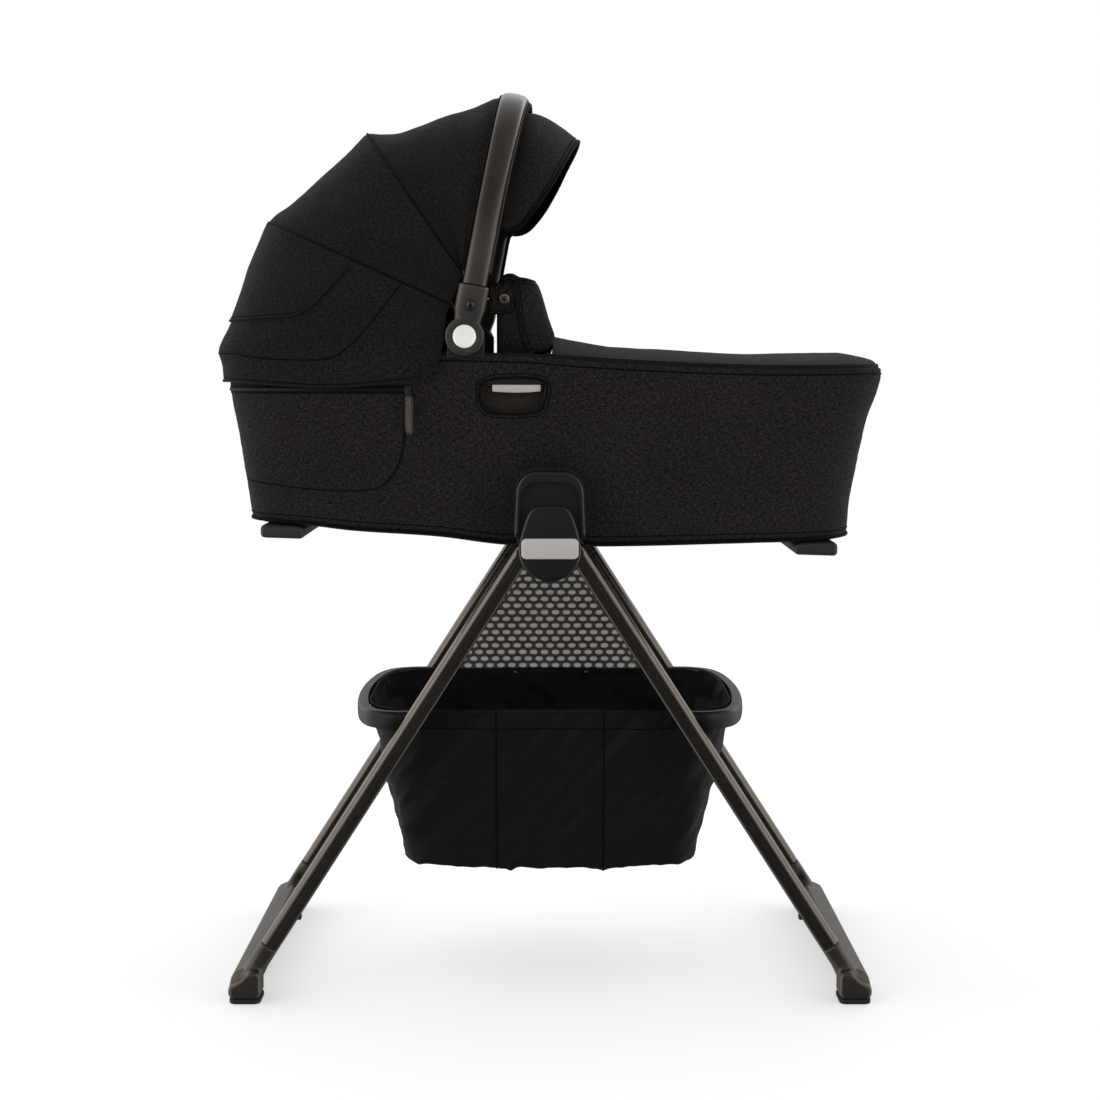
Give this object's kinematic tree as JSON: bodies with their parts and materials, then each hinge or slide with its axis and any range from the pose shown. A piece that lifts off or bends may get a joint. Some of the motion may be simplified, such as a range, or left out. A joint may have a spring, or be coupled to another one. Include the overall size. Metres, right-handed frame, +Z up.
{
  "type": "bassinet with stand",
  "caption": "Fabric carry cot with a fan canopy and arched handle, docked on a folding A-frame stand that holds a fabric storage basket.",
  "frame": {"origin": "on the floor, under the middle of the bounding box", "axes": "+X to the foot end of the cot, +Y to its left side, +Z up"},
  "size_m": [0.831, 0.503, 1.1149],
  "materials": {
    "leg_metal": "dark bronze anodised, satin",
    "bow_plastic": "satin, dark bronze",
    "black_plastic": "fine matt grain",
    "satin_plastic": "smooth satin",
    "silver_metal": "satin silver",
    "steel": "plain",
    "rubber": "matt",
    "woven_fabric": "fine melange weave, near black charcoal",
    "thin_fabric": "thin plain weave",
    "net_fabric": "air mesh with small round holes",
    "lining_fabric": "soft knit",
    "mattress_cover": "quilted knit",
    "leatherette": "smooth, stitched edge"
  },
  "bodies": {
    "stand_hub": {"hub_core_right": "black_plastic", "hub_core_left": "black_plastic", "hub_cap_right": "satin_plastic", "hub_cap_left": "satin_plastic", "hub_plate_right": "silver_metal", "hub_plate_left": "silver_metal", "leg_pin_head_right": "steel", "leg_pin_head_left": "steel", "leg_pin_foot_right": "steel", "leg_pin_foot_left": "steel", "basket_bag": "thin_fabric", "basket_net": "net_fabric"},
    "head_legs": {"leg_head_right": "leg_metal", "leg_head_left": "leg_metal", "floor_bar_head": "bow_plastic", "foot_pad_head_right": "rubber", "foot_pad_head_left": "rubber", "basket_bracket_head": "black_plastic", "bracket_screw_head_right": "steel", "bracket_screw_head_left": "steel"},
    "foot_legs": {"leg_foot_right": "leg_metal", "leg_foot_left": "leg_metal", "floor_bar_foot": "bow_plastic", "foot_pad_foot_right": "rubber", "foot_pad_foot_left": "rubber", "basket_bracket_foot": "black_plastic", "bracket_screw_foot_right": "steel", "bracket_screw_foot_left": "steel"},
    "bassinet": {"body_cover": "woven_fabric", "base_tray": "black_plastic", "base_skid_head": "black_plastic", "base_skid_foot": "black_plastic", "inner_liner": "lining_fabric", "rim_frame": "leg_metal", "mattress": "mattress_cover", "dock_socket_right": "satin_plastic", "dock_socket_left": "satin_plastic", "release_frame_right": "black_plastic", "release_frame_left": "black_plastic", "pivot_base_right": "black_plastic", "pivot_base_left": "black_plastic", "apron": "woven_fabric", "canopy_rear": "woven_fabric"},
    "rear_bow": {"canopy_rib_rear": "steel", "canopy_middle": "woven_fabric"},
    "mid_bow": {"canopy_rib_mid": "steel", "canopy_front": "woven_fabric"},
    "handle": {"handle_bow": "bow_plastic", "handle_hub_right": "black_plastic", "handle_hub_left": "black_plastic", "visor_cloth": "woven_fabric"},
    "visor": {"visor_wire": "steel"},
    "button_right": {"pivot_button_right": "silver_metal"},
    "button_left": {"pivot_button_left": "silver_metal"},
    "wind_flap": {"wind_flap": "woven_fabric"},
    "lever_right": {"release_lever_right": "silver_metal"},
    "lever_left": {"release_lever_left": "silver_metal"},
    "zip_slider": {"zip_slider": "steel"},
    "zip_pull": {"zip_pull": "leatherette"}
  },
  "joints": [
    {"name": "head_leg_fold", "type": "hinge", "parent": "stand_hub", "child": "head_legs", "pos_m": [-0.0332, 0, 0.548], "axis": [0, -1, 0], "range_deg": [0, 28], "deforming": ["basket_bag", "basket_net"]},
    {"name": "foot_leg_fold", "type": "hinge", "parent": "stand_hub", "child": "foot_legs", "pos_m": [0.0332, 0, 0.548], "axis": [0, 1, 0], "range_deg": [0, 28], "deforming": ["basket_bag", "basket_net"]},
    {"name": "bassinet_lift", "type": "slide", "parent": "stand_hub", "child": "bassinet", "axis": [0, 0, 1], "range_m": [0, 0.12]},
    {"name": "rear_bow_fold", "type": "hinge", "parent": "bassinet", "child": "rear_bow", "pos_m": [-0.1011, 0, 0.8058], "axis": [0, -1, 0], "range_deg": [0, 20], "deforming": ["canopy_rear"]},
    {"name": "mid_bow_fold", "type": "hinge", "parent": "rear_bow", "child": "mid_bow", "pos_m": [-0.1011, 0, 0.8058], "axis": [0, -1, 0], "range_deg": [0, 28], "deforming": ["canopy_middle"]},
    {"name": "handle_fold", "type": "hinge", "parent": "mid_bow", "child": "handle", "pos_m": [-0.1011, 0, 0.8058], "axis": [0, -1, 0], "range_deg": [0, 32], "deforming": ["canopy_front"]},
    {"name": "visor_fold", "type": "hinge", "parent": "handle", "child": "visor", "pos_m": [-0.1011, 0, 0.8058], "axis": [0, -1, 0], "range_deg": [0, 12], "deforming": ["visor_cloth"]},
    {"name": "button_press_right", "type": "slide", "parent": "handle", "child": "button_right", "axis": [0, 1, 0], "range_m": [0, 0.003], "stiffness_N_per_m": 400, "springref_m": -0.003},
    {"name": "button_press_left", "type": "slide", "parent": "handle", "child": "button_left", "axis": [0, -1, 0], "range_m": [0, 0.003], "stiffness_N_per_m": 400, "springref_m": -0.003},
    {"name": "wind_flap_fold", "type": "hinge", "parent": "bassinet", "child": "wind_flap", "pos_m": [0.006, 0, 0.8095], "axis": [0, 1, 0], "range_deg": [0, 62]},
    {"name": "release_pull_right", "type": "slide", "parent": "bassinet", "child": "lever_right", "axis": [0, 0, 1], "range_m": [0, 0.007], "stiffness_N_per_m": 300, "springref_m": -0.004},
    {"name": "release_pull_left", "type": "slide", "parent": "bassinet", "child": "lever_left", "axis": [0, 0, 1], "range_m": [0, 0.007], "stiffness_N_per_m": 300, "springref_m": -0.004},
    {"name": "zip_run", "type": "slide", "parent": "bassinet", "child": "zip_slider", "axis": [-1, 0, 0], "range_m": [0, 0.11]},
    {"name": "zip_pull_swing", "type": "hinge", "parent": "zip_slider", "child": "zip_pull", "pos_m": [-0.169, -0.221, 0.7352], "axis": [-1, 0, 0], "range_deg": [0, 80]}
  ],
  "couplings": [
    {"joint": "foot_leg_fold", "follows": "head_leg_fold", "ratio": 1},
    {"joint": "rear_bow_fold", "follows": "handle_fold", "ratio": 0.625},
    {"joint": "mid_bow_fold", "follows": "handle_fold", "ratio": 0.875}
  ]
}
